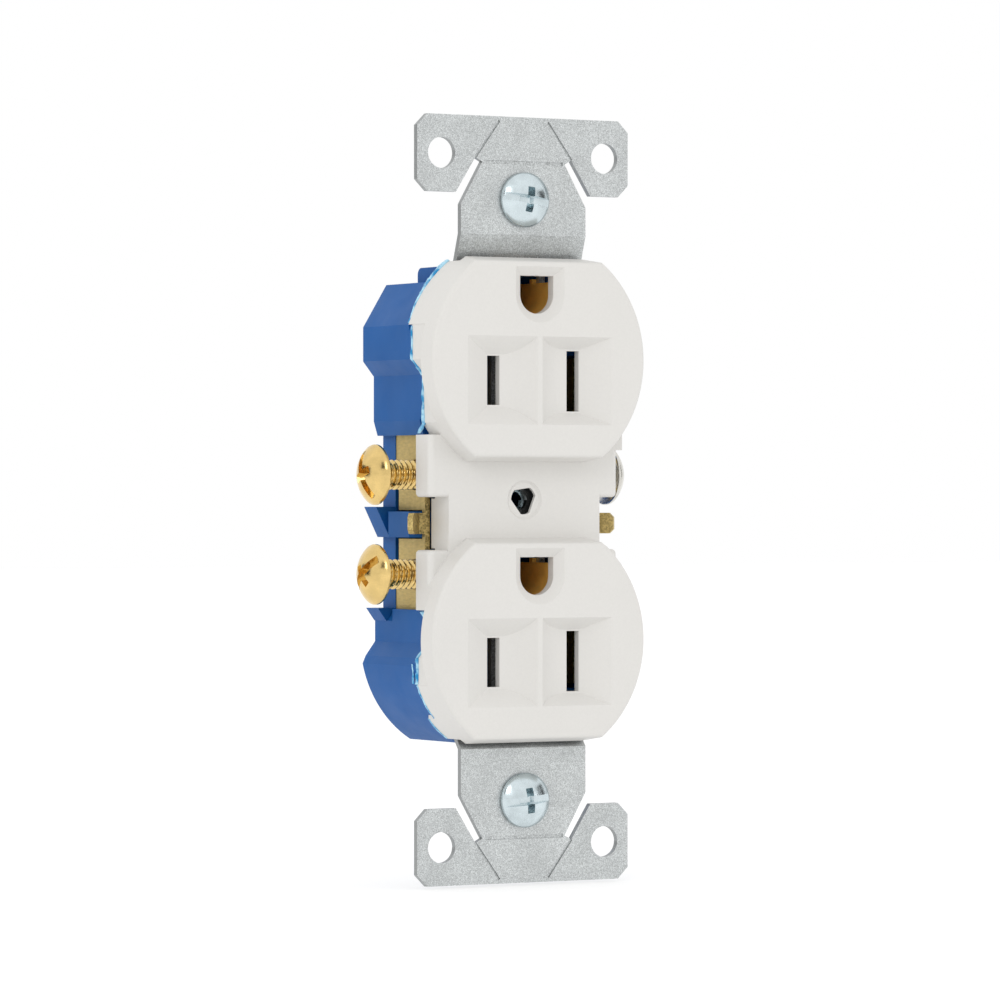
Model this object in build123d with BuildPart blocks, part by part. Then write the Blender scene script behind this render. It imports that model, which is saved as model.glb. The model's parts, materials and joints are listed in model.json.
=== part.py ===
"""Duplex wall outlet, 15 A, side wired, on a plaster-ear mounting strap.

Frame: X to the right, Y into the wall, Z up. The origin is on the axis of the tapped
centre hole, in the plane of the strap's back. Lengths are millimetres.
"""

import os

from build123d import *

# The mounting standard: screw spacing, receptacle pitch and the pins of a plug.
mounting_pitch = 83.34
receptacle_pitch = 38.9
blade_x = 6.35
blade_below_centre = 2.95
ground_above_centre = 8.95

# Front cover: two flattened drums on a lower middle block.
face_y = -5.5
seam_y = 2.7
drum_radius = 16.95
drum_flat = 14.2
face_flat = 13.5
face_rounding = 0.55
block_rounding = 0.8
hollow_half = 13.0
side_cut_y = -2.0
lip_inner = 13.1
step_half = 15.8
step_bottom = 7.0
step_overlap = 0.3
notch_rounding = 0.6
dish_radius = 2.75
dish_depth = 0.35
lobe_flat = 1.55
lobe_tip = 2.0
lobe_turn = -82
centre_wall = 0.85
centre_pocket = 3.2
shell = 1.8
face_back_y = -2.4
block_y = -1.2
block_back_y = 0.5
block_half = 15.1
block_top = 9.0
block_bottom = -16.0
waist_half = 12.1
waist_top = 0.4
waist_bottom = -6.9
waist_back_y = 3.7

# Blade pockets and slots, and the ground hole.
pocket_half_height = 6.1
pocket_outer = 11.5
pocket_floor_y = -3.5
pocket_ridge = 0.35
pocket_curve = 7.5
pocket_margin = 0.2
slot_width = 1.95
hot_slot_height = 6.8
neutral_slot_height = 8.4
ground_radius = 2.65
ground_flat = 2.6
lead_in_width = 1.25
lead_in_depth = 1.0
sleeve_clearance = 0.1
sleeve_wall = 0.6
sleeve_back_y = 10.6
sleeve_front_y = -3.0
sleeve_mouth = 1.6
foot_width = 7.4
foot_height = 10.6
foot_below_ground = 2.9
foot_thickness = 0.7
rivet_radius = 1.0
rivet_hole_radius = 1.02
rivet_head_radius = 1.7
rivet_head = 0.5

# Mounting strap.
strap_thickness = 0.9
strap_half_length = 53.15
ear_half = 16.9
ear_inner = 42.5
ear_root = 10.8
ear_corner = 1.6
ear_hole_x = 13.05
ear_hole_z = 47.85
ear_hole_radius = 2.15
neck_half = 10.0
neck_shoulder = 40.85
tongue_half = 6.6
tongue_z = 46.8
slit_outer = (7.7, 47.4)
mounting_slot = (6.8, 4.6)
band_y = 0.6
band_half = 4.3
jog_start = {1: 36.8, -1: 34.4}
jog_end = 32.6
tapped_radius = 1.4
collar_radius = 2.2
collar_back_y = 3.0
score_width = 0.35
fold_width = 0.5
fold_margin = 0.3
score_depth = 0.2
score_end_x = 3.9
score_margin = 0.6
lug_outer = 12.4
lug_bottom = 21.9
lug_top = 27.4
lug_back_y = 11.0

# Rear body.
body_back_y = 16.0
body_radius = 16.65
floor_y = 14.2
body_top = 30.2
tab_half = 9.4
tab_top = 32.5
tab_back_y = 12.5
tab_rounding = 1.0
shoulder_half = 12.5
upper_foot_half = 13.9
lower_shoulder = ((16.3, -22.9), (19.0, -27.0), (19.0, -34.0))
strip_half = 13.0
strip_y = 12.4
recess_top = 9.0
recess_bottom = -15.2
divider_top = -1.6
divider_bottom = -5.2
divider_half = 14.95
divider_y = 5.0
groove_y = 10.9
hook_y = 12.5
hook_root = 12.0
hook_tip = 16.03
hook_base = 13.9
lower_hook_tip = 15.74
lower_hook_base = 14.4
lower_hook_notch = 13.0
chamber_inner = 4.6
chamber_outer = 12.95
ground_chamber_half = 3.9
ground_chamber_bottom = -21.0
side_hollow = ((5.2, 11.5), (22.0, 28.0))
ground_screw_room = ((11.3, 18.0), (21.2, 31.0))
ground_screw_room_y = 12.0
passage_outer = 10.9
upper_chamber = (11.0, 20.2)
lower_chamber = (-26.4, -17.2)
merge = 0.1
spring_room = 0.6
rib_half = 4.9
rib_wall = 1.2
pin_clear = 2.9
pin_floor_y = 15.2
hook_nose_z = -0.95
lower_hook_z = -15.1
lower_hook_bottom = -16.9
cradle_half = 1.0
cradle_gap = 0.25
gauge_half = 1.0
gauge_depth = 0.4
gauge_z = (-31.0, -16.0)

# Terminals: two screws a side on one plate, joined by a link that can be snapped off.
terminal_z = (3.5, -10.3)
terminal_y = 7.0
plate_inner = 12.1
plate_outer = 12.9
plate_front_y = 4.1
plate_back_y = 12.4
plate_narrow_y = 11.6
plate_top = 8.7
plate_bottom = -15.0
link_back_y = 4.9
leaf_front_y = 6.0
plate_step = 1.5
fin_points = ((13.8, 4.1), (16.1, 1.75), (16.65, 2.3), (14.15, 4.9))
fin_chamfer = 0.6
fin_top = -1.8
fin_bottom = -4.7
sheet = 0.8
leaf = 0.6
leaf_gap = 1.7
contact_height = 7.1
contact_front_y = 3.6
running_fit = 0.05

# Screws.
terminal_thread_radius = 2.085
terminal_head_radius = 4.2
terminal_head_under = 18.9
neutral_head_under = (17.7, 16.6)
terminal_length = 7.7
terminal_rim = 0.5
terminal_dome = 2.0
mounting_thread_radius = 1.75
mounting_head_gap = 0.15
mounting_head_radius = 3.8
mounting_head_rim = 0.5
mounting_head_height = 2.0
mounting_tip_y = 11.8
mounting_neck_radius = 1.5
mounting_neck_end_y = 1.25
ground_screw_z = 24.9
ground_screw_y = 6.5
ground_screw_under = 17.0
ground_screw_tip = 11.0
ground_head_radius = 3.4
ground_head_rim = 0.8
ground_head_height = 2.6
recess_width = 1.1
recess_depth = 1.0
terminal_recess = 2.2
ground_recess = 1.8
mounting_recess = 2.0
retainer_back_y = 0.95
retainer_thickness = 0.8
retainer_size = 8.0
retainer_rounding = 1.0
retainer_hole_radius = 2.1

# Push-in wiring.
wire_x = 11.0
wire_z = (7.4, -14.2)
wire_radius = 1.1
spring_root = (8.2, 12.0)
spring_tip = (11.7, 8.6)
spring_thickness = 0.35
spring_half = 1.3
root_radius = 0.5

centres = (receptacle_pitch / 2, -receptacle_pitch / 2)
blade_z = [centre - blade_below_centre for centre in centres]
ground_z = [centre + ground_above_centre for centre in centres]
rivet_below_ground = 6.0


def at_depth(y):
    """A sketch plane parallel to the wall at depth y, local x = X and local y = Z."""
    return Plane.XZ.offset(-y)


def at_height(z):
    """A level sketch plane at height z, local x = X and local y = Y."""
    return Plane.XY.offset(z)


def at_side(x):
    """A sketch plane facing sideways at x, local x = Y and local y = Z."""
    return Plane.YZ.offset(x)


def block(x_range, y_range, z_range, mode=Mode.ADD):
    """A box between two corners, added to or taken from the current part."""
    middle = [(low + high) / 2 for low, high in (x_range, y_range, z_range)]
    size = [abs(high - low) for low, high in (x_range, y_range, z_range)]
    with Locations(tuple(middle)):
        Box(*size, mode=mode)


def both_sides(x_range):
    """The same X range on the right and on the left."""
    near, far = x_range
    return ((near, far), (-far, -near))


def drum_profile(centre, radius, flat):
    """A circle with its top and bottom cut flat."""
    with Locations((0, centre)):
        Circle(radius)
        Rectangle(4 * radius, 2 * flat, mode=Mode.INTERSECT)


def ground_profile(margin=0.0):
    """The ground hole: round at the bottom, flat at the top."""
    radius = ground_radius + margin
    Circle(radius)
    with Locations((0, (ground_flat + margin) / 2)):
        Rectangle(2 * radius, ground_flat + margin)


def finish(part, name):
    """Labels a finished piece and writes it."""
    part.part.label = name
    export_step(part.part, f"parts/{name}.step")


os.makedirs("parts", exist_ok=True)


# ---- Outlines that the cover and the body share --------------------------------------

side_limit = drum_radius + 0.5
upper_corner = (16.2, 24.2)
upper_side = [upper_corner, (16.2, 19.4), (14.5, 17.3), (14.5, 11.0)]
lower_side = [(14.3, -15.2), (14.3, -19.8), (15.8, -21.8)]
upper_side_cut = upper_side + [(14.5, block_top), (side_limit, block_top), (side_limit, 24.2)]
lower_side_cut = lower_side + [
    (15.8, -25.5),
    (side_limit, -25.5),
    (side_limit, -10.0),
    (block_half, -10.0),
    (block_half, -15.2),
]

# The body's sides reach further forward than the seam: front depth, lowest and highest Z.
lips = ((1.8, block_top, 24.2), (1.0, -30.2, -15.2))


# ---- Front cover -------------------------------------------------------------------


def blade_pocket(side, slot_height):
    """The funnel around one blade slot, cut about the slot's own height."""
    inner = side * (blade_x - slot_width / 2)
    outer = side * (blade_x + slot_width / 2)
    ridge = side * pocket_ridge
    with BuildPart(mode=Mode.PRIVATE) as pocket:
        with BuildSketch(at_height(-pocket_half_height)):
            with BuildLine():
                RadiusArc((ridge, face_y), (inner, pocket_floor_y), side * pocket_curve)
                Line((inner, pocket_floor_y), (outer, pocket_floor_y))
                Line((outer, pocket_floor_y), (side * pocket_outer, face_y))
                Line((side * pocket_outer, face_y), (ridge, face_y))
            make_face()
        extrude(amount=2 * pocket_half_height)
        with BuildSketch(at_side(0)):
            with BuildLine():
                Polyline(
                    (face_y, pocket_half_height),
                    (pocket_floor_y, slot_height / 2 + pocket_margin),
                    (pocket_floor_y, -slot_height / 2 - pocket_margin),
                    (face_y, -pocket_half_height),
                    close=True,
                )
            make_face()
        extrude(amount=drum_radius, both=True, mode=Mode.INTERSECT)
    return pocket.part


hot_pocket = blade_pocket(-1, hot_slot_height)
neutral_pocket = blade_pocket(1, neutral_slot_height)

with BuildPart() as front_cover:
    # The middle block, with its long front edges rounded.
    with BuildSketch(at_height(block_bottom)):
        with Locations((0, (block_y + seam_y) / 2)):
            Rectangle(2 * block_half, seam_y - block_y)
    extrude(amount=block_top - block_bottom)
    fillet(front_cover.edges().filter_by(Axis.Z).group_by(Axis.Y)[0], block_rounding)
    for side in both_sides((waist_half, block_half + 1)):
        block(side, (block_y - 1, seam_y + 1), (waist_bottom, waist_top), Mode.SUBTRACT)
    notch_edges = [
        edge
        for edge in front_cover.edges().filter_by(Axis.Y)
        if abs(edge.center().X) > block_half - 0.1 and abs(edge.center().Z) < 8
    ]
    fillet(notch_edges, notch_rounding)
    # The two drums, with their face edges rounded.
    for centre in centres:
        with BuildSketch(at_depth(seam_y)):
            drum_profile(centre, drum_radius, drum_flat)
        extrude(amount=seam_y - face_y)
        # The flats lean in towards the face, from the strap at one end and the block at the other.
        with BuildSketch(at_side(-drum_radius)):
            for end in (1, -1):
                flat_back_y = -strap_thickness if end * centre > 0 else block_y
                Polygon(
                    (face_y, centre + end * face_flat),
                    (flat_back_y, centre + end * drum_flat),
                    (flat_back_y, centre + end * (drum_flat + merge)),
                    (face_y, centre + end * (drum_flat + merge)),
                    align=None,
                )
        extrude(amount=2 * drum_radius, mode=Mode.SUBTRACT)
    fillet(front_cover.faces().sort_by(Axis.Y)[:2].edges(), face_rounding)
    # Behind the faces the sides are cut back to the rear body's outline.
    with BuildSketch(at_depth(seam_y)):
        for side in (1, -1):
            for cut in (upper_side_cut, lower_side_cut):
                Polygon(*[(side * x, z) for x, z in cut], align=None)
    extrude(amount=seam_y - side_cut_y, mode=Mode.SUBTRACT)
    # On the neutral side the block has a short step under the upper drum.
    block((block_half - 1, step_half), (block_y, seam_y), (step_bottom, block_top + step_overlap))
    # The waist reaches a little further back than the seam.
    with BuildSketch(at_depth(waist_back_y)):
        with Locations((0, (waist_top + waist_bottom) / 2)):
            Rectangle(2 * waist_half, waist_top - waist_bottom - 0.4)
    extrude(amount=waist_back_y - block_y)
    # Room for the body's forward lips.
    for front, bottom, top in lips:
        for side in both_sides((lip_inner, side_limit)):
            block(side, (front, seam_y), (bottom, top), Mode.SUBTRACT)
    # Hollow inside.
    for centre in centres:
        with BuildSketch(at_depth(waist_back_y)):
            drum_profile(centre, drum_radius - shell, drum_flat - shell)
            with Locations((0, centre)):
                Rectangle(2 * hollow_half, 2 * drum_flat, mode=Mode.INTERSECT)
        extrude(amount=waist_back_y - face_back_y, mode=Mode.SUBTRACT)
    waist_inner = waist_half - shell
    block((-waist_inner, waist_inner), (block_back_y, waist_back_y + 1), (-9, 9), Mode.SUBTRACT)
    # Notches in the end walls for the strap and the tabs of the rear body.
    for end in (1, -1):
        notch_z = (end * (centres[0] + drum_flat - shell - 0.5), end * (centres[0] + drum_flat + 0.2))
        block((-neck_half - 0.1, neck_half + 0.1), (-strap_thickness, seam_y), notch_z, Mode.SUBTRACT)
    # Blade pockets and slots, and the ground holes with their lead-in.
    for height in blade_z:
        with Locations((0, 0, height)):
            add(hot_pocket, mode=Mode.SUBTRACT)
            add(neutral_pocket, mode=Mode.SUBTRACT)
        with BuildSketch(at_depth(face_back_y + 0.5)):
            with Locations((-blade_x, height)):
                Rectangle(slot_width, hot_slot_height)
            with Locations((blade_x, height)):
                Rectangle(slot_width, neutral_slot_height)
        extrude(amount=face_back_y + 0.5 - pocket_floor_y + 0.5, mode=Mode.SUBTRACT)
    for height in ground_z:
        with BuildSketch(at_depth(face_back_y + 0.5)):
            with Locations((0, height)):
                ground_profile()
        extrude(amount=face_back_y + 0.5 - face_y, mode=Mode.SUBTRACT)
        with BuildSketch(at_depth(face_back_y + 0.5)):
            with Locations((0, height)):
                ground_profile(sleeve_clearance + sleeve_wall + 0.1)
        extrude(amount=face_back_y + 0.5 - sleeve_front_y + 0.1, mode=Mode.SUBTRACT)
        for margin, y in ((0.0, face_y + lead_in_depth), (lead_in_width, face_y)):
            with BuildSketch(at_depth(y)):
                with Locations((0, height)):
                    ground_profile(margin)
        loft(mode=Mode.SUBTRACT)
    # The centre hole: a round dish and a three-lobed hole that holds a screw.
    with BuildSketch(at_depth(block_y)):
        Circle(dish_radius)
    extrude(amount=-dish_depth, taper=45, mode=Mode.SUBTRACT)
    with BuildSketch(at_depth(block_back_y + 0.5)):
        Circle(centre_pocket)
    extrude(amount=block_back_y + 0.5 - block_y - centre_wall, mode=Mode.SUBTRACT)
    with BuildSketch(at_depth(block_back_y + 0.5)):
        RegularPolygon(lobe_flat, 3, major_radius=False, rotation=lobe_turn)
        Circle(lobe_tip, mode=Mode.INTERSECT)
    extrude(amount=block_back_y + 0.5 - block_y, mode=Mode.SUBTRACT)
finish(front_cover, "front_cover")


# ---- Rear body ---------------------------------------------------------------------


def mirrored_outline(points):
    """A closed outline from its right-hand half, given from the top down."""
    return points + [(-x, z) for x, z in reversed(points)]


upper_outline = mirrored_outline(
    [(shoulder_half, body_top)] + upper_side + [(upper_foot_half, recess_top)]
)
lower_outline = mirrored_outline(lower_side + list(lower_shoulder))

with BuildPart() as rear_body:
    depth = body_back_y - seam_y
    # Upper block, with a tab behind the strap's neck.
    with BuildSketch(at_depth(body_back_y)):
        Polygon(*upper_outline, align=None)
    extrude(amount=depth)
    with BuildSketch(at_depth(tab_back_y)):
        with Locations((0, tab_top - 4)):
            Rectangle(2 * tab_half, 8)
    extrude(amount=tab_back_y - seam_y)
    tab_back_edge = rear_body.edges().filter_by(Axis.X).group_by(Axis.Z)[-1].sort_by(Axis.Y)[-1]
    fillet(tab_back_edge, tab_rounding)
    # A rib up the back, round the tip of the upper ground pin.
    block((-rib_half, rib_half), (floor_y - 2, body_back_y), (body_top - 1, tab_top))
    # Lower block: a drum like the cover's, cut back at its shoulders.
    with BuildSketch(at_depth(body_back_y)):
        drum_profile(centres[1], body_radius, drum_flat)
        Polygon(*lower_outline, align=None, mode=Mode.INTERSECT)
    extrude(amount=depth)
    # The lips at the sides, in front of the seam.
    for lip, outline, centre in zip(lips, (upper_outline, lower_outline), centres):
        front, bottom, top = lip
        with BuildSketch(at_depth(seam_y)):
            Polygon(*outline, align=None)
            with Locations((0, centre)):
                Circle(body_radius, mode=Mode.INTERSECT)
            with Locations((0, (bottom + top) / 2)):
                Rectangle(2 * side_limit, top - bottom, mode=Mode.INTERSECT)
                Rectangle(2 * lip_inner, top - bottom, mode=Mode.SUBTRACT)
        extrude(amount=seam_y - front)
    # Tongues that close the cover's notches behind the strap.
    tongue_y = (band_y + strap_thickness + 0.1, seam_y)
    block((-tab_half, tab_half), tongue_y, (centres[0] + drum_flat - shell, tab_top))
    block((-tab_half, tab_half), tongue_y, (centres[1] - drum_flat + 0.3, centres[1] - drum_flat + shell))
    # The narrow middle between the terminal plates, and the strip behind them.
    middle_z = (recess_bottom, recess_top)
    block((-plate_inner, plate_inner), (waist_back_y, body_back_y), middle_z)
    block((-strip_half, strip_half), (strip_y, body_back_y), middle_z)
    for end in ((recess_bottom, waist_bottom - 0.1), (waist_top + 0.1, recess_top)):
        block((-plate_inner, plate_inner), (seam_y, waist_back_y), end)
    # Dividers between the two screws of a side, each with a wire hook behind it.
    with BuildSketch(at_height(divider_bottom)):
        for side in (1, -1):
            with BuildLine():
                Polyline(
                    (side * (chamber_inner - 0.5), divider_y),
                    (side * divider_half, divider_y),
                    (side * divider_half, groove_y),
                    (side * strip_half, hook_y),
                    (side * strip_half, floor_y),
                    (side * (chamber_inner - 0.5), floor_y),
                    close=True,
                )
            make_face()
    extrude(amount=divider_top - divider_bottom)
    with BuildSketch(at_depth(body_back_y)):
        for side in (1, -1):
            Polygon(
                (side * hook_root, hook_nose_z),
                (side * hook_tip, hook_nose_z),
                (side * hook_base, divider_bottom),
                (side * hook_root, divider_bottom),
                align=None,
            )
            Polygon(
                (side * hook_root, lower_hook_z),
                (side * lower_hook_tip, lower_hook_z),
                (side * lower_hook_base, lower_hook_bottom),
                (side * hook_root, lower_hook_bottom),
                align=None,
            )
    extrude(amount=body_back_y - hook_y)
    # A notch in front of each lower hook.
    with BuildSketch(at_depth(hook_y)):
        for side in (1, -1):
            Polygon(
                (side * lower_hook_base, recess_bottom + merge),
                (side * lower_hook_notch, recess_bottom + merge),
                (side * lower_hook_base, lower_hook_bottom - merge),
                align=None,
            )
    extrude(amount=hook_y - groove_y, mode=Mode.SUBTRACT)
    # Chambers, open to the front: one for each bus, and one for the ground contacts.
    deep = (seam_y - 2, floor_y)
    for side in both_sides((chamber_inner, chamber_outer)):
        block(side, deep, upper_chamber, Mode.SUBTRACT)
        block(side, deep, lower_chamber, Mode.SUBTRACT)
    link_z = (divider_bottom - 0.8, divider_top + 1.6)
    for side in both_sides((chamber_inner, plate_inner + merge)):
        block(side, deep, (divider_top, recess_top + merge), Mode.SUBTRACT)
        block(side, deep, (recess_bottom - spring_room, divider_bottom), Mode.SUBTRACT)
        block(side, (deep[0], divider_y), link_z, Mode.SUBTRACT)
    # Between these and the plates' ends the way is the plate's own width at the outside.
    passages = (
        (recess_top - merge, upper_chamber[0] + merge),
        (lower_chamber[1] - merge, recess_bottom + merge),
    )
    for side in both_sides((plate_inner - running_fit, chamber_outer)):
        for passage in passages:
            block(side, deep, passage, Mode.SUBTRACT)
    for side in both_sides((chamber_inner, passage_outer)):
        for passage in passages:
            block(side, deep, passage, Mode.SUBTRACT)
    ground_chamber = (-ground_chamber_half, ground_chamber_half)
    block(ground_chamber, deep, (ground_chamber_bottom, tab_top - rib_wall), Mode.SUBTRACT)
    for height in ground_z:
        pin_z = (height - pin_clear, min(height + pin_clear, tab_top - rib_wall))
        block((-pin_clear, pin_clear), (deep[0], pin_floor_y), pin_z, Mode.SUBTRACT)
    hollow_x, hollow_z = side_hollow
    for side in both_sides(hollow_x):
        block(side, deep, hollow_z, Mode.SUBTRACT)
    # A recess in the right-hand shoulder for the ground screw.
    room_x, room_z = ground_screw_room
    block(room_x, (deep[0], ground_screw_room_y), room_z, Mode.SUBTRACT)
    # Cradles that the wire springs rock in.
    root_x, root_y = spring_root
    for height in wire_z:
        for side in both_sides((root_x - cradle_half, root_x + cradle_half)):
            block(side, (root_y + cradle_gap, floor_y), (height - spring_half, height + spring_half))
        for side in (1, -1):
            with Locations((side * root_x, root_y, height)):
                Cylinder(root_radius + running_fit, 2 * spring_half + 0.2, mode=Mode.SUBTRACT)
    # Push-in wire holes through the back.
    with BuildSketch(at_depth(body_back_y)):
        for height in wire_z:
            with Locations((wire_x, height), (-wire_x, height)):
                Circle(wire_radius)
    extrude(amount=body_back_y - floor_y, mode=Mode.SUBTRACT)
    # A strip gauge groove on the back.
    block((-gauge_half, gauge_half), (body_back_y - gauge_depth, body_back_y), gauge_z, Mode.SUBTRACT)
finish(rear_body, "rear_body")


# ---- Mounting strap ----------------------------------------------------------------


def strap_end_outline(end):
    """The outline of one end, from the body to the ears."""
    half = [
        (neck_half, end * jog_start[end]),
        (neck_half, end * neck_shoulder),
        (tongue_half, end * tongue_z),
        (slit_outer[0], end * slit_outer[1]),
        (ear_root, end * ear_inner),
        (ear_half - ear_corner, end * ear_inner),
        (ear_half, end * (ear_inner + ear_corner)),
        (ear_half, end * (strap_half_length - ear_corner)),
        (ear_half - ear_corner, end * strap_half_length),
    ]
    return half + [(-x, z) for x, z in reversed(half)]


with BuildPart() as mounting_strap:
    with BuildSketch(at_depth(0)):
        for end in (1, -1):
            Polygon(*strap_end_outline(end), align=None)
            with Locations((0, end * mounting_pitch / 2)):
                SlotOverall(*mounting_slot, mode=Mode.SUBTRACT)
            with Locations((ear_hole_x, end * ear_hole_z), (-ear_hole_x, end * ear_hole_z)):
                Circle(ear_hole_radius, mode=Mode.SUBTRACT)
    extrude(amount=strap_thickness)
    # Score lines, along which an ear bends or snaps off.
    with BuildSketch(at_depth(-strap_thickness)):
        for end in (1, -1):
            with Locations((0, end * tongue_z)):
                Rectangle(2 * (tongue_half - fold_margin), fold_width)
            for side in (1, -1):
                score_from = (side * slit_outer[0], end * slit_outer[1])
                score_to = (side * score_end_x, end * (strap_half_length - score_margin))
                with BuildLine():
                    score = Line(score_from, score_to)
                trace(score, line_width=score_width)
    extrude(amount=-score_depth, mode=Mode.SUBTRACT)
    # Towards the body the strap steps back, and inside it narrows to a band.
    with BuildSketch(at_side(-neck_half)):
        for end in (1, -1):
            Polygon(
                (-strap_thickness, end * (jog_start[end] + 0.2)),
                (0, end * (jog_start[end] + 0.2)),
                (0, end * jog_start[end]),
                (band_y + strap_thickness, end * jog_end),
                (band_y + strap_thickness, end * (jog_end - 0.2)),
                (band_y, end * (jog_end - 0.2)),
                (band_y, end * jog_end),
                (-strap_thickness, end * jog_start[end]),
                align=None,
            )
    extrude(amount=2 * neck_half)
    band_back_y = band_y + strap_thickness
    with BuildSketch(at_depth(band_back_y)):
        Rectangle(2 * band_half, 2 * jog_end)
        # The wing that carries the ground screw's lug.
        with Locations((lug_outer / 2, (lug_top + lug_bottom) / 2)):
            Rectangle(lug_outer, lug_top - lug_bottom)
    extrude(amount=strap_thickness)
    block((lug_outer - strap_thickness, lug_outer), (band_y, lug_back_y), (lug_bottom, lug_top))
    with BuildSketch(at_side(lug_outer)):
        with Locations((ground_screw_y, ground_screw_z)):
            Circle(terminal_thread_radius + running_fit)
    extrude(amount=-strap_thickness, mode=Mode.SUBTRACT)
    # The extruded collar of the tapped centre hole.
    with BuildSketch(at_depth(collar_back_y)):
        Circle(collar_radius)
    extrude(amount=collar_back_y - band_back_y)
    with BuildSketch(at_depth(collar_back_y)):
        Circle(tapped_radius)
    extrude(amount=collar_back_y - band_y, mode=Mode.SUBTRACT)
    # Ground pin holes and rivet holes.
    with BuildSketch(at_depth(band_back_y)):
        for height in ground_z:
            with Locations((0, height)):
                ground_profile(sleeve_clearance + sleeve_wall + 0.05)
            with Locations((0, height - rivet_below_ground)):
                Circle(rivet_hole_radius)
    extrude(amount=strap_thickness, mode=Mode.SUBTRACT)
finish(mounting_strap, "mounting_strap")


# ---- Hot and neutral buses ---------------------------------------------------------


def contact_leaves(side, height):
    """The web and the two leaves that grip one blade."""
    web_z = (height - contact_height / 2, height + contact_height / 2)
    near = blade_x - leaf_gap / 2 - leaf
    far = blade_x + leaf_gap / 2
    web_y = floor_y - 0.2 - sheet
    block((side * near, side * plate_outer), (web_y, web_y + sheet), web_z)
    for inner in (near, far):
        leaf_x = (side * inner, side * (inner + leaf))
        block(leaf_x, (contact_front_y + 1.0, web_y), web_z)
    # Flared lips that lead the blade in.
    with BuildSketch(at_height(web_z[0])) as lips:
        for inner, lean in ((near, -0.25), (far, 0.25)):
            inner_far = inner + leaf
            Polygon(
                (side * inner, contact_front_y + 1.0),
                (side * inner_far, contact_front_y + 1.0),
                (side * (inner_far + lean), contact_front_y),
                (side * (inner + lean), contact_front_y),
                align=None,
            )
    extrude(lips.sketch, amount=contact_height)


def make_bus(side, name):
    """One terminal plate with its snap-off link and its two blade contacts."""
    reach_top = blade_z[0] + contact_height / 2
    reach_bottom = blade_z[1] - contact_height / 2
    web_back_y = floor_y - 0.2
    with BuildPart() as bus:
        with BuildSketch(at_side(side * plate_inner)):
            Polygon(
                (plate_front_y, plate_top),
                (leaf_front_y, plate_top),
                (leaf_front_y, reach_top),
                (web_back_y, reach_top),
                (web_back_y, recess_top + 0.05),
                (plate_back_y, recess_top + 0.05),
                (plate_back_y, terminal_z[0]),
                (plate_narrow_y, terminal_z[0] - plate_step),
                (plate_narrow_y, divider_top + 0.2),
                (link_back_y, divider_top + 0.2),
                (link_back_y, divider_bottom - 0.2),
                (plate_narrow_y, divider_bottom - 0.2),
                (plate_narrow_y, terminal_z[1] + plate_step),
                (plate_back_y, terminal_z[1]),
                (plate_back_y, recess_bottom - 0.05),
                (web_back_y, recess_bottom - 0.05),
                (web_back_y, reach_bottom),
                (leaf_front_y, reach_bottom),
                (leaf_front_y, plate_bottom),
                (plate_front_y, plate_bottom),
                align=None,
            )
            for height in terminal_z:
                with Locations((terminal_y, height)):
                    Circle(terminal_thread_radius + running_fit, mode=Mode.SUBTRACT)
        extrude(amount=side * sheet)
        # The fin of the link: out from the plate, then leaning forward.
        with BuildSketch(at_height(fin_bottom)):
            Polygon(
                (side * (plate_outer - merge), plate_front_y),
                *[(side * x, y) for x, y in fin_points],
                (side * (plate_outer - merge), link_back_y),
                align=None,
            )
        extrude(amount=fin_top - fin_bottom)
        fin_tip = bus.faces().sort_by(Axis.X)[-1 if side > 0 else 0]
        chamfer(fin_tip.edges().filter_by(Axis.Z, reverse=True), fin_chamfer)
        for height in blade_z:
            contact_leaves(side, height)
    finish(bus, name)


make_bus(-1, "hot_bus")
make_bus(1, "neutral_bus")


# ---- Screws ------------------------------------------------------------------------


def screw_profile(thread_radius, head_radius, rim, height, length):
    """Half of a turned screw, its axis up: the head's underside at 0, the shank below."""
    tip = thread_radius * 0.35
    dome = height - rim
    dome_radius = (head_radius**2 + dome**2) / (2 * dome)
    with BuildLine() as half:
        Polyline(
            (0, height),
            (0, -length),
            (thread_radius - tip, -length),
            (thread_radius, tip - length),
            (thread_radius, 0),
            (head_radius, 0),
            (head_radius, rim),
        )
        RadiusArc((head_radius, rim), (0, height), -dome_radius)
    make_face(half.edges())


def cut_cross(height, arm):
    """A cross recess in the top of a head that stands on the level plane."""
    with BuildSketch(at_height(height - recess_depth)) as cross:
        Rectangle(2 * arm, recess_width)
        Rectangle(recess_width, 2 * arm)
    extrude(cross.sketch, amount=recess_depth, mode=Mode.SUBTRACT)


def make_screw(name, place, sizes, arm, neck=None):
    """A screw turned on its own upright axis, then laid on the plane place.

    A neck is the radius and length of a plain shank under the head.
    """
    with BuildPart(mode=Mode.PRIVATE) as upright:
        with BuildSketch(Plane.XZ):
            screw_profile(*sizes)
        revolve(axis=Axis.Z)
        cut_cross(sizes[3], arm)
        if neck:
            neck_radius, neck_length = neck
            with BuildSketch(at_height(-neck_length)) as ring:
                Circle(sizes[0] + merge)
                Circle(neck_radius, mode=Mode.SUBTRACT)
            extrude(ring.sketch, amount=neck_length, mode=Mode.SUBTRACT)
    with BuildPart(place) as screw:
        add(upright.part)
    finish(screw, name)


terminal_sizes = (
    terminal_thread_radius,
    terminal_head_radius,
    terminal_rim,
    terminal_rim + terminal_dome,
    terminal_length,
)
hot_head_under = (terminal_head_under, terminal_head_under)
for side, pole, unders in ((-1, "hot", hot_head_under), (1, "neutral", neutral_head_under)):
    for height, under, level in zip(terminal_z, unders, ("upper", "lower")):
        seat = Plane(origin=(side * under, terminal_y, height), z_dir=(side, 0, 0))
        make_screw(f"{pole}_screw_{level}", seat, terminal_sizes, terminal_recess)

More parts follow.
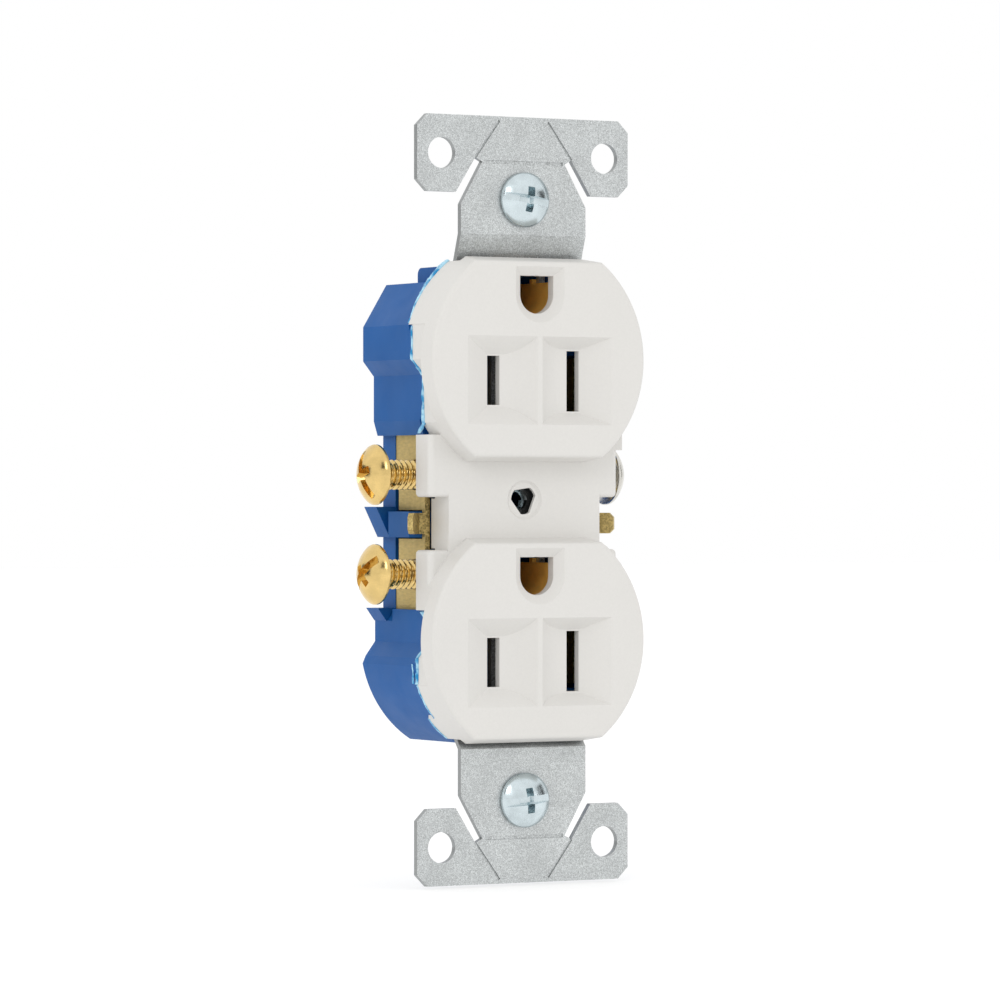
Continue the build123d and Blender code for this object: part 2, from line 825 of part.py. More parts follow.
ground_sizes = (
    terminal_thread_radius,
    ground_head_radius,
    ground_head_rim,
    ground_head_height,
    ground_screw_under - ground_screw_tip,
)
ground_seat = Plane(origin=(ground_screw_under, ground_screw_y, ground_screw_z), z_dir=(1, 0, 0))
make_screw("ground_screw", ground_seat, ground_sizes, ground_recess)

mounting_seat_y = -strap_thickness - mounting_head_gap
mounting_sizes = (
    mounting_thread_radius,
    mounting_head_radius,
    mounting_head_rim,
    mounting_head_height,
    mounting_tip_y - mounting_seat_y,
)
mounting_neck = (mounting_neck_radius, mounting_neck_end_y - mounting_seat_y)
for end, level in ((1, "upper"), (-1, "lower")):
    head_seat = Plane(origin=(0, mounting_seat_y, end * mounting_pitch / 2), z_dir=(0, -1, 0))
    name = f"mounting_screw_{level}"
    make_screw(name, head_seat, mounting_sizes, mounting_recess, mounting_neck)


# ---- Screw retainers ---------------------------------------------------------------

for end, level in ((1, "upper"), (-1, "lower")):
    with BuildPart() as screw_retainer:
        with BuildSketch(at_depth(retainer_back_y)):
            with Locations((0, end * mounting_pitch / 2)):
                RectangleRounded(retainer_size, retainer_size, retainer_rounding)
                Circle(retainer_hole_radius, mode=Mode.SUBTRACT)
        extrude(amount=retainer_thickness)
    finish(screw_retainer, f"screw_retainer_{level}")


# ---- Ground contacts and their rivets ----------------------------------------------

contact_y = band_y + strap_thickness
for height, level in zip(ground_z, ("upper", "lower")):
    with BuildPart() as ground_contact:
        # The U-shaped sleeve that the ground pin slides into, open on its flat side.
        with BuildSketch(at_depth(sleeve_back_y)):
            with Locations((0, height)):
                ground_profile(sleeve_clearance + sleeve_wall)
            with Locations((0, height + ground_flat)):
                Rectangle(4 * ground_radius, sleeve_mouth, mode=Mode.SUBTRACT)
        extrude(amount=sleeve_back_y - sleeve_front_y)
        # The foot that is riveted to the strap.
        with BuildSketch(at_depth(contact_y + foot_thickness)):
            with Locations((0, height - foot_below_ground)):
                Rectangle(foot_width, foot_height)
            with Locations((0, height - rivet_below_ground)):
                Circle(rivet_hole_radius, mode=Mode.SUBTRACT)
        extrude(amount=foot_thickness)
        with BuildSketch(at_depth(sleeve_back_y)):
            with Locations((0, height)):
                ground_profile(sleeve_clearance)
        extrude(amount=sleeve_back_y - sleeve_front_y + merge, mode=Mode.SUBTRACT)
    finish(ground_contact, f"{level}_ground_contact")

    with BuildPart() as ground_rivet:
        foot_back_y = contact_y + foot_thickness
        with BuildSketch(at_depth(foot_back_y)):
            with Locations((0, height - rivet_below_ground)):
                Circle(rivet_radius)
        extrude(amount=foot_back_y - band_y)
        for seat_y, amount in ((band_y, rivet_head), (foot_back_y, -rivet_head)):
            with BuildSketch(at_depth(seat_y)):
                with Locations((0, height - rivet_below_ground)):
                    Circle(rivet_head_radius)
            extrude(amount=amount)
    finish(ground_rivet, f"{level}_ground_rivet")


# ---- Push-in wire springs ----------------------------------------------------------


def make_spring(side, height, name):
    """A leaf that rocks on a round root and bites the wire with its tip."""
    root_x, root_y = spring_root
    tip_x, tip_y = spring_tip
    with BuildPart() as spring:
        with BuildSketch(at_height(height - spring_half + 0.1)):
            with Locations((side * root_x, root_y)):
                Circle(root_radius)
            with BuildLine():
                Polyline(
                    (side * root_x, root_y + spring_thickness / 2),
                    (side * root_x, root_y - spring_thickness),
                    (side * (tip_x - 0.2), tip_y),
                    (side * tip_x, tip_y + spring_thickness),
                    close=True,
                )
            make_face()
        extrude(amount=2 * spring_half - 0.2)
    finish(spring, name)


for side, pole in ((-1, "hot"), (1, "neutral")):
    for height, level in zip(wire_z, ("upper", "lower")):
        make_spring(side, height, f"{pole}_wire_spring_{level}")
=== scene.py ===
"""The looks of a duplex wall outlet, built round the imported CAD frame.

Lengths are millimetres in the named sizes and metres in the scene. X is to the right,
Y into the wall and Z up, as in the frame.
"""

import json
import math

import bmesh
import bpy
from mathutils import Matrix, Vector, noise


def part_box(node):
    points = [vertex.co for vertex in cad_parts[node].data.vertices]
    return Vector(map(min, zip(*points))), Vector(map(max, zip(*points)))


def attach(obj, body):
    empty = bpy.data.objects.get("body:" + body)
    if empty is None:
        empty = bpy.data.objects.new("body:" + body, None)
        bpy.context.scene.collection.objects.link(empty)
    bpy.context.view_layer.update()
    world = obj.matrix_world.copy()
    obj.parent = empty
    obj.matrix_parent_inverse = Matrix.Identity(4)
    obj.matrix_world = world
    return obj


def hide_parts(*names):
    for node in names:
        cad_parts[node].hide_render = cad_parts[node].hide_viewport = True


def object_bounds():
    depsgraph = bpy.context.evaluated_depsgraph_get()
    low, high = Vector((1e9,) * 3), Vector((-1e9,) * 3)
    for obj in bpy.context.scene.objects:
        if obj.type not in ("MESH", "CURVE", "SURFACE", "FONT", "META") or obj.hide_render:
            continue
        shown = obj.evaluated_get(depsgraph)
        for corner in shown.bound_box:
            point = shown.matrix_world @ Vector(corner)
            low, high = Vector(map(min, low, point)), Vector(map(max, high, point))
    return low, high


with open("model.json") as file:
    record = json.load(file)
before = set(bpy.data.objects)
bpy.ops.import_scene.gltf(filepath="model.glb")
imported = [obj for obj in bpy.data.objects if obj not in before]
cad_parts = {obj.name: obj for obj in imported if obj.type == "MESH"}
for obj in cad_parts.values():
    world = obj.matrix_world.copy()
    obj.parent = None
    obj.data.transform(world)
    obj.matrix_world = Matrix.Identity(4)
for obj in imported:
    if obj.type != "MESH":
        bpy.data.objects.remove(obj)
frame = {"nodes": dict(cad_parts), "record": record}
cad_bounds = [list(corner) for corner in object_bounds()]
nodes = frame["nodes"]
MM = 0.001

# ---- Sizes, in millimetres -----------------------------------------------------------

# The thread. Its flats and flanks are shares of half a pitch.
THREAD_PITCH = 0.794
THREAD_DEPTH = 0.36
CREST_FLAT = 0.12
FLANK = 0.72
SEGMENTS = 96
ROWS_PER_PITCH = 16
TIP_LENGTH = 0.9
TIP_SLOPE = 0.75

# Each kind of screw: the head, the thread with the plain length before it, and the recess.
TERMINAL = {
    "head": 4.2, "rim": 0.5, "height": 2.5, "thread": 2.085, "length": 7.7, "plain": 0.2,
    "slot": 1.2, "arm": 2.05,
}
MOUNTING = {
    "head": 3.8, "rim": 0.5, "height": 2.0, "thread": 1.75, "length": 12.85, "plain": 2.4,
    "slot": 1.06, "arm": 1.9,
}
GROUND = {
    "head": 3.4, "rim": 0.8, "height": 2.6, "thread": 2.085, "length": 6.0, "plain": 0.2,
    "slot": 1.1, "arm": 1.8,
}

# The head's rounded edge, and the small fillet under it.
DOME_RINGS = 14
EDGE = 0.1
EDGE_CORNER = 0.03
UNDER_EDGE = 0.12
UNDER_EDGE_CORNER = 0.02
FILLET_START = 0.25
FILLET_END = 0.12
FILLET_DEPTH = 0.08

# The slot and the cross recess, cut from above the head. Their walls draw in to the floor.
CUT_FROM_ABOVE = 0.3
SLOT_REACH = 9.0
SLOT_DEPTH = 1.25
SLOT_WIDER = 0.03
SLOT_NARROWER = 0.02
CROSS_DEPTH = 1.75
CROSS_LONGER = 0.25
CROSS_FLOOR_ARM = 0.8
CROSS_TOP_WIDTH = 0.62
CROSS_FLOOR_WIDTH = 0.34

RIDGE_STEPS = 40
RIDGE_HALF_WIDTH = 0.30

DRUM_CENTRES = {"upper": 19.45, "lower": -19.45}
DRUM_RADIUS = 16.95
ARC_STEPS = 40

# The bead along the seam: the shape of its section, and how far noise swells and shifts it.
BEAD_SIDES = 10
BEAD_SIDEWAYS = 0.7
BEAD_BACK = 1.25
BEAD_STEP = 0.3
THINNEST_BEAD = 0.05
WOBBLE_DENSITY = 0.9
RIPPLE_DENSITY = 2.7
WOBBLE_SWELL = 0.6
RIPPLE_SWELL = 0.3
RIPPLE_SHIFT = 0.06
WOBBLE_SHIFT = 0.18

# Faces that meet at more than these angles, in degrees, have a sharp edge between them.
SHARP_ANGLE = 35.0
BEAD_SHARP_ANGLE = 60.0

# The camera stands 30 degrees to the left of the front, level with the object.
CAMERA_TURN = 30.13
CAMERA_DISTANCE = 715.3
CAMERA_LENS = 185.2
CAMERA_SENSOR = 36.0
CAMERA_SHIFT = -0.0204

# The floor lies just under the object, and glows a little so that it renders white.
FLOOR_SIZE = 6000.0
FLOOR_GAP = 0.4
FLOOR_GREY = 0.45
FLOOR_GLOW = 0.58
CARD_GREY = 0.02


# ---- Materials -----------------------------------------------------------------------

# Noise keeps mostly between these two values.
NOISE_LOW = 0.3
NOISE_HIGH = 0.7

# The colour sockets of a mix node.
MIX_FIRST, MIX_SECOND, MIX_RESULT = 6, 7, 2


def new_material(name, colour, roughness, metallic=0.0):
    material = bpy.data.materials.new(name)
    material.use_nodes = True
    shader = material.node_tree.nodes["Principled BSDF"]
    shader.inputs["Base Color"].default_value = (*colour, 1.0)
    shader.inputs["Roughness"].default_value = roughness
    shader.inputs["Metallic"].default_value = metallic
    shader.inputs["Specular IOR Level"].default_value = 0.25
    return material


def grain(material, size, detail=3.0, stretch=(1, 1, 1)):
    """Noise fixed to the object, with features of about that size in millimetres."""
    tree = material.node_tree
    place = tree.nodes.new("ShaderNodeTexCoord")
    mapping = tree.nodes.new("ShaderNodeMapping")
    mapping.inputs["Scale"].default_value = [share / (size * MM) for share in stretch]
    pattern = tree.nodes.new("ShaderNodeTexNoise")
    pattern.inputs["Scale"].default_value = 1.0
    pattern.inputs["Detail"].default_value = detail
    tree.links.new(place.outputs["Object"], mapping.inputs["Vector"])
    tree.links.new(mapping.outputs["Vector"], pattern.inputs["Vector"])
    return pattern.outputs["Fac"]


def flakes(material, size):
    """Small crystal flakes, each with a shade of its own."""
    tree = material.node_tree
    place = tree.nodes.new("ShaderNodeTexCoord")
    pattern = tree.nodes.new("ShaderNodeTexVoronoi")
    pattern.inputs["Scale"].default_value = 1.0 / (size * MM)
    tree.links.new(place.outputs["Object"], pattern.inputs["Vector"])
    return pattern.outputs["Color"]


def grey(shade):
    return (shade,) * 3


def ramp(material, source, low, high, start=NOISE_LOW, end=NOISE_HIGH):
    """A colour from low to high as the source goes from start to end."""
    tree = material.node_tree
    scale = tree.nodes.new("ShaderNodeValToRGB")
    scale.color_ramp.elements[0].position = start
    scale.color_ramp.elements[0].color = (*low, 1.0)
    scale.color_ramp.elements[1].position = end
    scale.color_ramp.elements[1].color = (*high, 1.0)
    tree.links.new(source, scale.inputs["Fac"])
    return scale.outputs["Color"]


def times(material, first, second):
    """The product of two colours."""
    tree = material.node_tree
    mix = tree.nodes.new("ShaderNodeMix")
    mix.data_type = "RGBA"
    mix.blend_type = "MULTIPLY"
    mix.inputs["Factor"].default_value = 1.0
    tree.links.new(first, mix.inputs[MIX_FIRST])
    tree.links.new(second, mix.inputs[MIX_SECOND])
    return mix.outputs[MIX_RESULT]


def shades(colour, dark, light):
    """Two shades of a colour."""
    return tuple(c * dark for c in colour), tuple(min(c * light, 1.0) for c in colour)


def paint(material, source, socket="Base Color"):
    tree = material.node_tree
    tree.links.new(source, tree.nodes["Principled BSDF"].inputs[socket])


def vary_roughness(material, source, low, high):
    tree = material.node_tree
    span = tree.nodes.new("ShaderNodeMapRange")
    span.inputs["From Min"].default_value = NOISE_LOW
    span.inputs["From Max"].default_value = NOISE_HIGH
    span.inputs["To Min"].default_value = low
    span.inputs["To Max"].default_value = high
    tree.links.new(source, span.inputs["Value"])
    paint(material, span.outputs["Result"], "Roughness")


def bump(material, source, height, strength):
    """A relief of that height in millimetres."""
    tree = material.node_tree
    relief = tree.nodes.new("ShaderNodeBump")
    relief.inputs["Strength"].default_value = strength
    relief.inputs["Distance"].default_value = height * MM
    tree.links.new(source, relief.inputs["Height"])
    paint(material, relief.outputs["Normal"], "Normal")


def plastic(name, colour, roughness, mottle):
    """Moulded plastic: a faint cloudiness, and the fine grain of the mould."""
    material = new_material(name, colour, roughness)
    clouds = ramp(material, grain(material, size=9.0), *shades(colour, 1.0 - mottle, 1.0))
    speck = ramp(material, grain(material, size=0.35), grey(0.975), grey(1.0))
    paint(material, times(material, clouds, speck))
    vary_roughness(material, grain(material, size=4.0), roughness - 0.05, roughness + 0.07)
    bump(material, grain(material, size=0.30, detail=4.0), height=0.006, strength=0.5)
    return material


def shade_cut_edges(material, faces, edges):
    """One colour on the faces that look along Y, and painted shade on the sheet's cut edges."""
    tree = material.node_tree
    geometry = tree.nodes.new("ShaderNodeNewGeometry")
    parts = tree.nodes.new("ShaderNodeSeparateXYZ")
    size = tree.nodes.new("ShaderNodeMath")
    size.operation = "ABSOLUTE"
    mix = tree.nodes.new("ShaderNodeMix")
    mix.data_type = "RGBA"
    tree.links.new(geometry.outputs["Normal"], parts.inputs["Vector"])
    tree.links.new(parts.outputs["Y"], size.inputs[0])
    tree.links.new(size.outputs["Value"], mix.inputs["Factor"])
    tree.links.new(edges, mix.inputs[MIX_FIRST])
    tree.links.new(faces, mix.inputs[MIX_SECOND])
    return mix.outputs[MIX_RESULT]


def speckled_metal(name, colour, roughness, metallic, contrast, size, edge):
    """Dull sheet metal: fine speckle over a slow drift of tone, painted shade on the cut edges.
    """
    material = new_material(name, colour, roughness, metallic)
    drift = ramp(material, grain(material, size=5.0), *shades(colour, 0.93, 1.05))
    speck_noise = grain(material, size, detail=2.0)
    speck = ramp(material, speck_noise, grey(1.0 - contrast), grey(1.0), start=0.35, end=0.6)
    flake_noise = flakes(material, size * 1.8)
    crystal = ramp(material, flake_noise, grey(1.0 - contrast / 2), grey(1.0), start=0.1, end=0.9)
    faces = times(material, times(material, drift, speck), crystal)
    # Painted shade: the cut edges take darker copies of the colour, scaled by edge.
    edge_shades = [tuple(c * edge for c in shade) for shade in shades(colour, 0.85, 1.05)]
    edge_noise = grain(material, size, detail=2.0, stretch=(1, 0.3, 1))
    edges = ramp(material, edge_noise, *edge_shades)
    paint(material, shade_cut_edges(material, faces, edges))
    vary_roughness(material, grain(material, size * 2.0), roughness - 0.08, roughness + 0.1)
    bump(material, grain(material, size), height=0.010, strength=0.6)
    return material


def paint_shade_near_origin(material, inner, outer):
    """Painted shade round the centre hole at the frame's origin, out to a radius in millimetres.
    """
    tree = material.node_tree
    shader = tree.nodes["Principled BSDF"]
    painted = shader.inputs["Base Color"].links[0].from_socket
    place = tree.nodes.new("ShaderNodeTexCoord")
    distance = tree.nodes.new("ShaderNodeVectorMath")
    distance.operation = "LENGTH"
    tree.links.new(place.outputs["Object"], distance.inputs[0])
    away = distance.outputs["Value"]
    # Painted shade: the colour falls to a tenth of itself towards the centre hole.
    hole_shade = ramp(material, away, grey(0.10), grey(1.0), start=inner * MM, end=outer * MM)
    paint(material, times(material, painted, hole_shade))


def bright_metal(name, colour, roughness, metallic=1.0):
    """Plated metal: nearly smooth, with small stains and a fine speck."""
    material = new_material(name, colour, roughness, metallic)
    stains = ramp(material, grain(material, size=1.6), *shades(colour, 0.86, 1.04))
    speck = ramp(material, grain(material, size=0.18), grey(0.93), grey(1.0))
    paint(material, times(material, stains, speck))
    vary_roughness(material, grain(material, size=0.8), roughness - 0.06, roughness + 0.08)
    bump(material, grain(material, size=0.25), height=0.004, strength=0.6)
    return material


def two_tone(name, dark, light, roughness, size):
    """Translucent plastic squeezed out in patches of two shades."""
    material = plastic(name, dark, roughness, mottle=0.1)
    paint(material, ramp(material, grain(material, size), dark, light, start=0.42, end=0.60))
    return material


materials = {
    "white_plastic": plastic("white_plastic", (0.712, 0.698, 0.669), 0.45, mottle=0.015),
    "blue_plastic": plastic("blue_plastic", (0.006, 0.100, 0.345), 0.48, mottle=0.12),
    # edge sets the painted shade on the cut edges of each sheet.
    "galvanised_steel": speckled_metal(
        "galvanised_steel", (0.76, 0.79, 0.79), 0.42, 0.70, contrast=0.46, size=0.13, edge=0.5
    ),
    "bus_brass": speckled_metal(
        "bus_brass", (0.72, 0.55, 0.22), 0.42, 0.80, contrast=0.62, size=0.30, edge=0.95
    ),
    "contact_brass": bright_metal("contact_brass", (0.95, 0.52, 0.11), 0.34, metallic=0.45),
    "screw_brass": bright_metal("screw_brass", (0.83, 0.60, 0.24), 0.18),
    "nickel": bright_metal("nickel", (0.72, 0.70, 0.65), 0.22),
    "zinc": bright_metal("zinc", (0.68, 0.77, 0.80), 0.22),
    "green_steel": bright_metal("green_steel", (0.05, 0.33, 0.12), 0.28),
    "fibre": plastic("fibre", (0.35, 0.24, 0.14), 0.75, mottle=0.25),
    "spring_steel": bright_metal("spring_steel", (0.55, 0.55, 0.53), 0.25),
    "weld_flash": two_tone(
        "weld_flash", (0.015, 0.26, 0.55), (0.42, 0.72, 0.88), 0.22, size=1.6
    ),
}
# Painted shade round the centre hole of the strap.
paint_shade_near_origin(materials["galvanised_steel"], inner=4.5, outer=6.5)
for row in frame["record"]["subparts"]:
    mesh = nodes[row["node"]].data
    mesh.materials.clear()
    mesh.materials.append(materials[row["material_slot"]])


# ---- Mesh helpers --------------------------------------------------------------------


def link(obj):
    bpy.context.scene.collection.objects.link(obj)
    return obj


def smooth(mesh, sharp_angle=SHARP_ANGLE):
    """Smooth faces that meet in sharp edges above the angle."""
    mesh.shade_smooth()
    mesh.set_sharp_from_angle(angle=math.radians(sharp_angle))


def new_object(name, mesh, material, sharp_angle=SHARP_ANGLE):
    smooth(mesh, sharp_angle)
    mesh.materials.append(materials[material])
    return link(bpy.data.objects.new(name, mesh))


def grid_mesh(name, rows):
    """A closed mesh from rows of points that each run round in a ring."""
    work = bmesh.new()
    rings = [[work.verts.new(point) for point in row] for row in rows]
    count = len(rings[0])
    for upper, lower in zip(rings, rings[1:]):
        for i in range(count):
            j = (i + 1) % count
            work.faces.new((upper[i], upper[j], lower[j], lower[i]))
    work.faces.new(list(reversed(rings[0])))
    work.faces.new(rings[-1])
    bmesh.ops.recalc_face_normals(work, faces=work.faces)
    mesh = bpy.data.meshes.new(name)
    work.to_mesh(mesh)
    work.free()
    return mesh


def carve(obj, cutters):
    """Cuts the cutters out of the object and removes them."""
    for cutter in cutters:
        cut = obj.modifiers.new("cut", "BOOLEAN")
        cut.object = cutter
        cut.operation = "DIFFERENCE"
        cut.solver = "EXACT"
    bpy.context.view_layer.update()
    evaluated = obj.evaluated_get(bpy.context.evaluated_depsgraph_get())
    carved = bpy.data.meshes.new_from_object(evaluated)
    obj.modifiers.clear()
    obj.data = carved
    for cutter in cutters:
        bpy.data.objects.remove(cutter)


def wedge_cutter(long_top, long_bottom, wide_top, wide_bottom, top, bottom):
    """A block with sloping sides, half sizes in millimetres, as a cutter."""
    corners = ((1, 1), (-1, 1), (-1, -1), (1, -1))
    rows = []
    for length, width, height in ((long_top, wide_top, top), (long_bottom, wide_bottom, bottom)):
        rows.append([Vector((x * length, y * width, height)) * MM for x, y in corners])
    return link(bpy.data.objects.new("cutter", grid_mesh("cutter", rows)))


# ---- Screws --------------------------------------------------------------------------


def thread_radius(angle, depth_along, crest):
    """The radius of a single-start thread at an angle and a distance down the shank."""
    phase = (depth_along / THREAD_PITCH - angle / (2 * math.pi)) % 1.0
    slope = abs(2.0 * phase - 1.0)
    return crest - THREAD_DEPTH * min(max((slope - CREST_FLAT) / FLANK, 0.0), 1.0)


def head_profile(size):
    """Radius and height of each ring of the head, from the dome's middle to the shank."""
    head, rim, height, crest = size["head"], size["rim"], size["height"], size["thread"]
    dome = height - rim
    ball = (head**2 + dome**2) / (2 * dome)
    profile = []
    for step in range(1, DOME_RINGS + 1):
        radius = (head - EDGE) * step / DOME_RINGS
        profile.append((radius, height - ball + math.sqrt(ball**2 - radius**2)))
    return profile + [
        (head - EDGE_CORNER, rim - EDGE_CORNER),
        (head, rim - EDGE),
        (head, UNDER_EDGE),
        (head - EDGE, UNDER_EDGE_CORNER),
        (head - 2 * EDGE, 0.0),
        (crest + FILLET_START, 0.0),
        (crest - THREAD_DEPTH + FILLET_END, -FILLET_DEPTH),
    ]


def screw_rows(size):
    """Rings of points down a screw that stands on its own axis, head up."""
    crest, length, plain = size["thread"], size["length"], size["plain"]
    angles = [2 * math.pi * i / SEGMENTS for i in range(SEGMENTS)]
    rows = []
    for r, z in head_profile(size):
        rows.append([Vector((r * math.cos(a), r * math.sin(a), z)) for a in angles])
    count = round((length - plain) / THREAD_PITCH * ROWS_PER_PITCH)
    for row in range(count + 1):
        along = plain + (length - plain) * row / count
        fade_in = min((along - plain) / THREAD_PITCH, 1.0)
        point = crest - TIP_SLOPE * max(along - length + TIP_LENGTH, 0.0)
        ring = []
        for a in angles:
            radius = thread_radius(a, along, crest)
            radius = (crest - THREAD_DEPTH) + (radius - crest + THREAD_DEPTH) * fade_in
            radius = min(radius, point)
            ring.append(Vector((radius * math.cos(a), radius * math.sin(a), -along)))
        rows.append(ring)
    return [[point * MM for point in row] for row in rows]


def recess_cutters(size):
    """The slot across the head, and the two arms of the cross."""
    top = size["height"] + CUT_FROM_ABOVE
    slot = size["slot"] / 2
    cutters = [
        wedge_cutter(
            SLOT_REACH, SLOT_REACH, slot + SLOT_WIDER, slot - SLOT_NARROWER,
            top, size["height"] - SLOT_DEPTH,
        )
    ]
    for turn in (0, 90):
        arm = wedge_cutter(
            size["arm"] + CROSS_LONGER, CROSS_FLOOR_ARM, CROSS_TOP_WIDTH, CROSS_FLOOR_WIDTH,
            top, size["height"] - CROSS_DEPTH,
        )
        arm.data.transform(Matrix.Rotation(math.radians(turn), 4, "Z"))
        cutters.append(arm)
    return cutters


def make_screw(node, size, outward, slot_direction, material):
    """A threaded screw with a slot and a cross recess, in place of a CAD screw."""
    axis = Vector(outward)
    low, high = (Vector(corner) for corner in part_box(node))
    tip = (low + high) / 2 - axis * abs((high - low).dot(axis)) / 2
    seat = tip + axis * size["length"] * MM
    name = f"{node}_detail"
    screw = new_object(name, grid_mesh(name, screw_rows(size)), material)
    carve(screw, recess_cutters(size))
    along = Vector(slot_direction).normalized()
    across = axis.cross(along)
    turn = Matrix((along, across, axis)).transposed().to_4x4()
    screw.data.transform(Matrix.Translation(seat) @ turn)
    smooth(screw.data)
    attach(screw, node)
    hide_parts(node)


slot_directions = {
    "hot_screw_upper": (0, -1.54, -3.5),
    "hot_screw_lower": (0, -2.79, 2.3),
    "neutral_screw_upper": (0, 3.6, 4.1),
    "neutral_screw_lower": (0, 4.9, 1.2),
}
for node, direction in slot_directions.items():
    side, metal = (-1, "screw_brass") if node.startswith("hot") else (1, "nickel")
    make_screw(node, TERMINAL, (side, 0, 0), direction, metal)
make_screw("ground_screw", GROUND, (1, 0, 0), (0, 1.0, 0.6), "green_steel")
for node, tilt in (("mounting_screw_upper", -8.0), ("mounting_screw_lower", 6.0)):
    direction = (math.cos(math.radians(tilt)), 0, math.sin(math.radians(tilt)))
    make_screw(node, MOUNTING, (0, -1, 0), direction, "zinc")


# ---- Thread of the centre hole -------------------------------------------------------


def helix_ridge(name, radius, height, start, turns, material, body):
    """A small ridge that winds round the inside of a hole, along Y from start."""
    half = Vector((0, RIDGE_HALF_WIDTH, 0))
    rows = []
    for step in range(RIDGE_STEPS * turns + 1):
        angle = 2 * math.pi * step / RIDGE_STEPS
        along = start + THREAD_PITCH * step / RIDGE_STEPS
        out = Vector((math.cos(angle), 0, math.sin(angle)))
        centre = Vector((0, along, 0)) + out * radius
        inward = -out * height
        rows.append([(centre + half) * MM, (centre + inward) * MM, (centre - half) * MM])
    ridge = new_object(name, grid_mesh(name, rows), material)
    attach(ridge, body)


helix_ridge(
    "centre_hole_thread", radius=1.41, height=0.24, start=0.95, turns=2,
    material="zinc", body="chassis",
)


# ---- Weld flash along the seam -------------------------------------------------------


def flash_bead(name, path, thin, thick, seed):
    """An uneven bead of squeezed-out plastic along a path in millimetres."""
    back = Vector((0, 1, 0))
    rows = []
    for i, point in enumerate(path):
        before = path[max(i - 1, 0)]
        after = path[min(i + 1, len(path) - 1)]
        side = (after - before).cross(back).normalized()
        wobble = noise.noise(point * WOBBLE_DENSITY + Vector((seed, 0, 0)))
        ripple = noise.noise(point * RIPPLE_DENSITY + Vector((seed, 5, 0)))
        share = i / (len(path) - 1)
        unevenness = 1.0 + WOBBLE_SWELL * wobble + RIPPLE_SWELL * ripple
        swell = max((thin + (thick - thin) * share) * unevenness, THINNEST_BEAD)
        shift = side * RIPPLE_SHIFT * ripple + back * WOBBLE_SHIFT * wobble
        ring = []
        for k in range(BEAD_SIDES):
            angle = 2 * math.pi * k / BEAD_SIDES
            sideways = side * BEAD_SIDEWAYS * math.cos(angle)
            spread = sideways + back * BEAD_BACK * math.sin(angle)
            ring.append((point + shift + spread * swell) * MM)
        rows.append(ring)
    bead = new_object(name, grid_mesh(name, rows), "weld_flash", BEAD_SHARP_ANGLE)
    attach(bead, "chassis")


def run(*corners):
    """Points close together along straight runs between the corners."""
    points = []
    for start, end in zip(corners, corners[1:]):
        start, end = Vector(start), Vector(end)
        count = max(int((end - start).length / BEAD_STEP), 1)
        points += [start.lerp(end, i / count) for i in range(count)]
    return points + [Vector(corners[-1])]


def drum_arc(level, start, end, start_y, end_y):
    """Points round a drum's side, angles in degrees up from level."""
    points = []
    for i in range(ARC_STEPS + 1):
        share = i / ARC_STEPS
        angle = math.radians(start + (end - start) * share)
        x = DRUM_RADIUS * math.cos(angle)
        z = DRUM_CENTRES[level] + DRUM_RADIUS * math.sin(angle)
        points.append(Vector((x, start_y + (end_y - start_y) * share, z)))
    return points


# Each bead: its path on the right-hand side, and how thick it is at its start and end.
beads = {
    "upper_arc": (drum_arc("upper", 17, 54, 2.75, 2.85), 0.10, 0.42),
    "upper_arc_second": (drum_arc("upper", 36, 53, 3.2, 3.6), 0.06, 0.22),
    "upper_side": (run((16.25, 1.8, 24.0), (16.25, 1.8, 19.5), (15.4, 1.75, 18.4)), 0.14, 0.20),
    "upper_slant": (run((15.4, 1.75, 18.4), (14.6, 1.75, 17.3)), 0.30, 0.22),
    "upper_neck": (run((14.55, 1.8, 17.2), (14.55, 1.7, 13.0), (14.5, 1.6, 10.4)), 0.13, 0.30),
    "upper_corner": (run((14.5, 1.6, 10.6), (14.8, 1.8, 9.9), (14.9, 2.2, 9.2)), 0.36, 0.32),
    "lower_corner": (
        run((14.9, 1.3, -15.4), (14.6, 1.0, -16.2), (14.4, 0.9, -17.2)), 0.42, 0.20
    ),
    "lower_neck": (
        run((14.35, 1.0, -17.2), (14.35, 1.0, -19.8), (15.8, 1.0, -21.8)), 0.12, 0.26
    ),
    "lower_side": (run((15.85, 1.0, -21.8), (15.85, 1.1, -25.4)), 0.28, 0.34),
    "lower_side_second": (run((16.3, 1.6, -22.6), (16.05, 1.7, -25.3)), 0.10, 0.18),
    "lower_arc": (drum_arc("lower", -21, -39, 1.05, 1.05), 0.15, 0.12),
    "lower_arc_step": (run((13.1, 1.05, -30.1), (13.0, 2.8, -30.3)), 0.12, 0.14),
    "lower_arc_end": (drum_arc("lower", -39.5, -53, 2.8, 2.8), 0.14, 0.20),
}
for seed, (name, (path, thin, thick)) in enumerate(beads.items()):
    for side, label in ((-1, "left"), (1, "right")):
        points = [Vector((side * point.x, point.y, point.z)) for point in path]
        flash_bead(f"{name}_{label}_flash", points, thin, thick, 2.0 * seed + 0.5 * side)


# ---- Stage, light and camera ---------------------------------------------------------


def plane(name, size, place, turn=(0, 0, 0)):
    """A square sheet. Its size and place are in metres."""
    half = size / 2
    mesh = bpy.data.meshes.new(name)
    corners = [(-half, -half, 0), (half, -half, 0), (half, half, 0), (-half, half, 0)]
    mesh.from_pydata(corners, [], [(0, 1, 2, 3)])
    obj = bpy.data.objects.new(name, mesh)
    obj.location = place
    obj.rotation_euler = turn
    return link(obj)


def facing_card(name, size, place):
    """A card that faces the object."""
    return plane(name, size, place, Vector(place).to_track_quat("Z", "Y").to_euler())


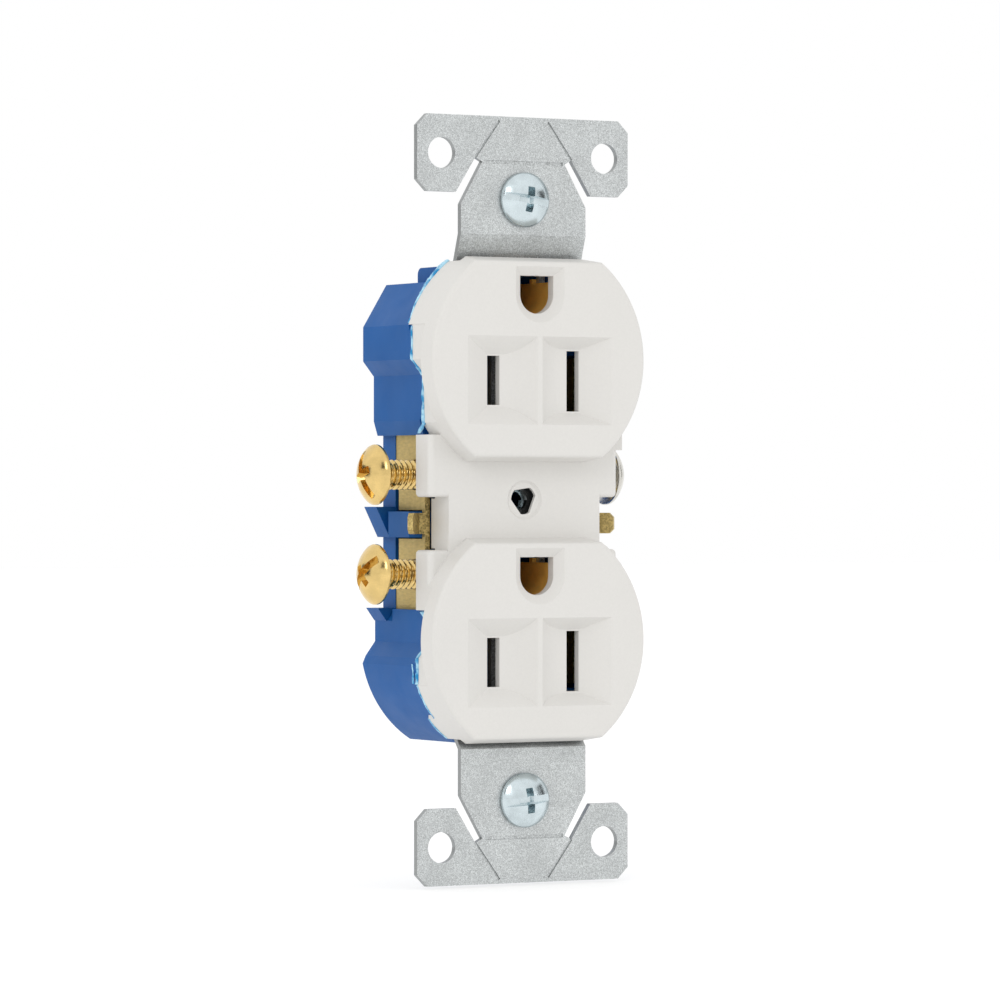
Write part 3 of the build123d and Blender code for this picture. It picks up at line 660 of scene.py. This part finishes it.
def area_light(name, power, size, place):
    """A square light that faces the object. Its size and place are in metres."""
    light = bpy.data.lights.new(name, "AREA")
    light.energy = power
    light.size = size
    obj = link(bpy.data.objects.new(name, light))
    obj.location = place
    obj.rotation_euler = (-Vector(place)).to_track_quat("-Z", "Y").to_euler()


floor = plane("floor", FLOOR_SIZE * MM, (0, 0, cad_bounds[0][2] - FLOOR_GAP * MM))
floor_material = new_material("floor", grey(FLOOR_GREY), roughness=0.9)
floor_shader = floor_material.node_tree.nodes["Principled BSDF"]
floor_shader.inputs["Emission Color"].default_value = (1, 1, 1, 1)
floor_shader.inputs["Emission Strength"].default_value = FLOOR_GLOW
floor.data.materials.append(floor_material)

# Dark cards that only reflections see, so that polished metal has contrast.
card_material = new_material("card", grey(CARD_GREY), roughness=0.9)
cards = [
    facing_card("card_left", size=0.26, place=(-0.62, -0.30, 0.34)),
    facing_card("card_rear", size=0.9, place=(-0.9, 0.75, -0.1)),
    facing_card("card_low", size=0.45, place=(-0.35, -0.75, -0.55)),
    facing_card("card_front", size=0.30, place=(0.15, -0.9, -0.25)),
    facing_card("card_right", size=0.5, place=(0.8, -0.3, 0.1)),
]
for card in cards:
    card.data.materials.append(card_material)
    card.visible_camera = False
    card.visible_diffuse = False
    card.visible_shadow = False

world = bpy.data.worlds.new("studio")
world.use_nodes = True
world.node_tree.nodes["Background"].inputs["Color"].default_value = (1, 1, 1, 1)
world.node_tree.nodes["Background"].inputs["Strength"].default_value = 1.0
bpy.context.scene.world = world
area_light("key", power=2.2, size=0.5, place=(-0.9, -0.9, 0.7))
area_light("fill", power=0.5, size=0.25, place=(0.9, -0.55, 0.1))

camera_data = bpy.data.cameras.new("camera")
camera_data.lens = CAMERA_LENS
camera_data.sensor_width = CAMERA_SENSOR
camera_data.shift_x = CAMERA_SHIFT
camera = link(bpy.data.objects.new("camera", camera_data))
turn = math.radians(CAMERA_TURN)
camera.location = Vector((-math.sin(turn), -math.cos(turn), 0)) * CAMERA_DISTANCE * MM
camera.rotation_euler = (math.radians(90), 0, -turn)
bpy.context.scene.camera = camera
bpy.context.scene.view_settings.view_transform = "Standard"
